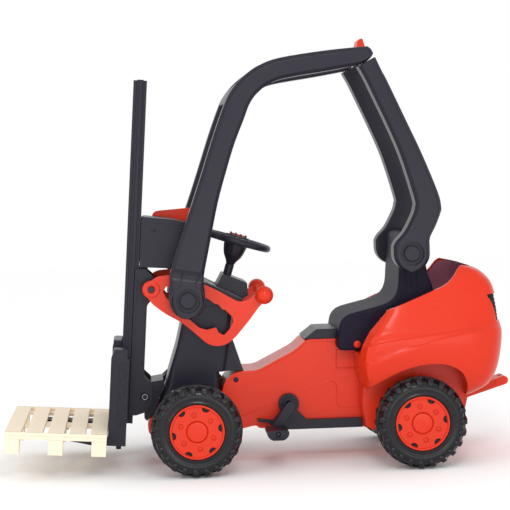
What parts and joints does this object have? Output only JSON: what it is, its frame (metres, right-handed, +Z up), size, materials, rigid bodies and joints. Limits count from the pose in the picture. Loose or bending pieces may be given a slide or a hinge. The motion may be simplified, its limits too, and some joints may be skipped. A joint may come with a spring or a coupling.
{
  "type": "toy forklift",
  "caption": "Pedal-driven ride-on toy forklift with a tilting mast, lifting forks and pallet, steerable front wheels, an overhead guard and a seat with a storage pocket behind it.",
  "frame": {"origin": "on the ground under the middle of the toy's overall box", "axes": "+X towards the driver's seat and the rear, forks point to -X, +Y to the driver's right, +Z up"},
  "size_m": [1.188, 0.47, 0.985],
  "materials": {
    "red_plastic": "satin-gloss moulded plastic",
    "black_plastic": "fine-grained moulded plastic",
    "tyre_black": "glossy blow-moulded tyre",
    "steel": "zinc-plated",
    "pallet_cream": "matt, wood-coloured"
  },
  "bodies": {
    "chassis": {"body_shell_left": "red_plastic", "body_shell_right": "red_plastic", "front_tower": "black_plastic", "console": "black_plastic", "mast_bracket": "black_plastic", "front_axle_beam": "black_plastic", "rear_cover": "red_plastic", "rear_vent": "black_plastic", "side_rail_left": "black_plastic", "side_rail_right": "black_plastic", "seat_rail": "black_plastic", "tow_hitch": "red_plastic", "front_hoop_left": "black_plastic", "front_hoop_right": "black_plastic", "rear_post_left": "black_plastic", "rear_post_right": "black_plastic", "roof_front_bar": "black_plastic", "roof_rear_bar": "red_plastic", "guard_cap_front_left": "black_plastic", "guard_cap_front_right": "black_plastic", "guard_cap_rear_left": "black_plastic", "guard_cap_rear_right": "black_plastic", "seat": "black_plastic", "seat_pin": "red_plastic", "chain": "steel"},
    "mast": {"outer_rail_left": "black_plastic", "outer_rail_right": "black_plastic", "inner_rail_left": "black_plastic", "inner_rail_right": "black_plastic", "mast_head": "black_plastic", "hinge_pin": "steel", "winch_box": "black_plastic"},
    "winch": {"winch_drum": "steel", "winch_handle": "red_plastic"},
    "levers": {"lever_left": "red_plastic", "lever_right": "red_plastic", "lever_shaft": "steel"},
    "carriage": {"carriage": "black_plastic", "fork_left": "black_plastic", "fork_right": "black_plastic"},
    "pallet": {"pallet": "pallet_cream"},
    "steering": {"steering_wheel": "black_plastic", "steering_column": "black_plastic"},
    "tie_rod": {"tie_rod": "steel"},
    "knuckle_left": {"knuckle_left": "steel"},
    "knuckle_right": {"knuckle_right": "steel"},
    "front_wheel_left": {"tyre_front_left": "tyre_black", "rim_front_left": "red_plastic"},
    "front_wheel_right": {"tyre_front_right": "tyre_black", "rim_front_right": "red_plastic"},
    "crank": {"crankshaft": "steel", "chainring": "steel"},
    "pedal_left": {"pedal_left": "black_plastic"},
    "pedal_right": {"pedal_right": "black_plastic"},
    "rear_drive": {"rear_axle": "steel", "rear_sprocket": "steel", "tyre_rear_left": "tyre_black", "tyre_rear_right": "tyre_black", "rim_rear_left": "red_plastic", "rim_rear_right": "red_plastic"}
  },
  "joints": [
    {"name": "mast_tilt", "type": "hinge", "parent": "chassis", "child": "mast", "pos_m": [-0.274, 0, 0.164], "axis": [0, -1, 0], "range_deg": [0, 8]},
    {"name": "lever_rock", "type": "hinge", "parent": "mast", "child": "levers", "pos_m": [-0.25169, 0, 0.41725], "axis": [0, -1, 0], "range_deg": [-3, 8]},
    {"name": "fork_lift", "type": "slide", "parent": "mast", "child": "carriage", "axis": [0.0732, 0, 0.9973], "range_m": [0, 0.56]},
    {"name": "winch_turn", "type": "hinge", "parent": "mast", "child": "winch", "pos_m": [-0.22481, 0, 0.53339], "axis": [0, 1, 0], "range_deg": [0, 1790]},
    {"name": "pallet_slide", "type": "slide", "parent": "carriage", "child": "pallet", "axis": [-0.9973, 0, 0.0732], "range_m": [0, 0.25]},
    {"name": "steer_left", "type": "hinge", "parent": "chassis", "child": "knuckle_left", "pos_m": [-0.16, -0.128, 0.104], "axis": [0, 0, 1], "range_deg": [-26, 26]},
    {"name": "steer_right", "type": "hinge", "parent": "chassis", "child": "knuckle_right", "pos_m": [-0.16, 0.128, 0.104], "axis": [0, 0, 1], "range_deg": [-26, 26]},
    {"name": "steering_turn", "type": "hinge", "parent": "chassis", "child": "steering", "pos_m": [-0.046, 0, 0.519], "axis": [0.299, 0, 0.9542], "range_deg": [-40, 40]},
    {"name": "tie_rod_slide", "type": "slide", "parent": "chassis", "child": "tie_rod", "axis": [0, 1, 0], "range_m": [-0.02, 0.02]},
    {"name": "front_wheel_left_roll", "type": "hinge", "parent": "knuckle_left", "child": "front_wheel_left", "pos_m": [-0.16, -0.2, 0.104], "axis": [0, 1, 0], "continuous": true},
    {"name": "front_wheel_right_roll", "type": "hinge", "parent": "knuckle_right", "child": "front_wheel_right", "pos_m": [-0.16, 0.2, 0.104], "axis": [0, 1, 0], "continuous": true},
    {"name": "rear_wheels_roll", "type": "hinge", "parent": "chassis", "child": "rear_drive", "pos_m": [0.35, 0, 0.104], "axis": [0, 1, 0], "continuous": true},
    {"name": "crank_turn", "type": "hinge", "parent": "chassis", "child": "crank", "pos_m": [0.061, 0, 0.137], "axis": [0, 1, 0], "continuous": true},
    {"name": "pedal_left_turn", "type": "hinge", "parent": "crank", "child": "pedal_left", "pos_m": [0.02456, -0.161, 0.08684], "axis": [0, 1, 0], "continuous": true},
    {"name": "pedal_right_turn", "type": "hinge", "parent": "crank", "child": "pedal_right", "pos_m": [0.09744, 0.161, 0.18716], "axis": [0, 1, 0], "continuous": true}
  ],
  "couplings": [
    {"joint": "winch_turn", "follows": "fork_lift", "rad_per_m": 55.556},
    {"joint": "steering_turn", "follows": "steer_left", "ratio": 1.525},
    {"joint": "tie_rod_slide", "follows": "steer_left", "m_per_rad": 0.0435},
    {"joint": "steer_right", "follows": "steer_left", "ratio": 1},
    {"joint": "crank_turn", "follows": "rear_wheels_roll", "ratio": 0.625}
  ]
}
